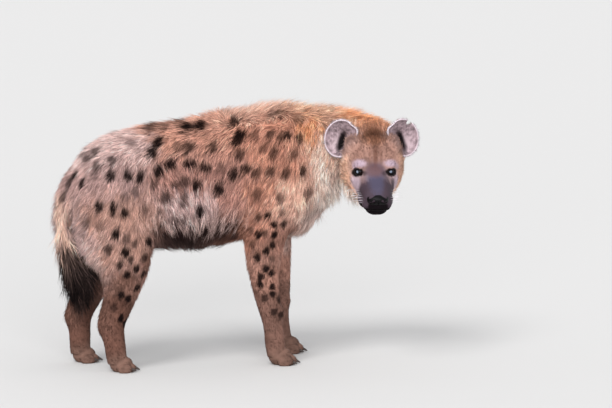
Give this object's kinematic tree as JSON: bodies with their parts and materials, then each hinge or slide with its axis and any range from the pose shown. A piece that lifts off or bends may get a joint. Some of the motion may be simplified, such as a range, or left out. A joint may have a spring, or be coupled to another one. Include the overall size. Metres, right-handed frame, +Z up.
{
  "type": "spotted hyena figure",
  "caption": "Life-size still figure of a spotted hyena standing on its four feet, its head turned to its right, with round ears, a sloping back and a hanging tail.",
  "frame": {"origin": "middle of the underside of the bounding box, on the floor under the feet", "axes": "+X along the body from the rump to the chest, +Y to the animal's left, +Z up; the head looks towards -Y"},
  "size_m": [1.121, 0.5048, 0.8104],
  "materials": {
    "ear_right": "thin, sparsely haired",
    "eye_right": "wet and glossy",
    "ear_left": "thin, sparsely haired",
    "eye_left": "wet and glossy",
    "muzzle": "dark short hair and bare nose",
    "head": "short coat",
    "neck": "shaggy coat",
    "foreleg_right": "short coat",
    "paw_fore_right": "short coat",
    "hindleg_right": "short coat",
    "paw_hind_right": "short coat",
    "foreleg_left": "short coat",
    "paw_fore_left": "short coat",
    "hindleg_left": "short coat",
    "paw_hind_left": "short coat",
    "tail": "shaggy coat",
    "torso": "shaggy coat"
  },
  "bodies": {
    "root": {"ear_right": "ear_right", "eye_right": "eye_right", "ear_left": "ear_left", "eye_left": "eye_left", "muzzle": "muzzle", "head": "head", "neck": "neck", "foreleg_right": "foreleg_right", "paw_fore_right": "paw_fore_right", "hindleg_right": "hindleg_right", "paw_hind_right": "paw_hind_right", "foreleg_left": "foreleg_left", "paw_fore_left": "paw_fore_left", "hindleg_left": "hindleg_left", "paw_hind_left": "paw_hind_left", "tail": "tail", "torso": "torso"}
  },
  "joints": []
}
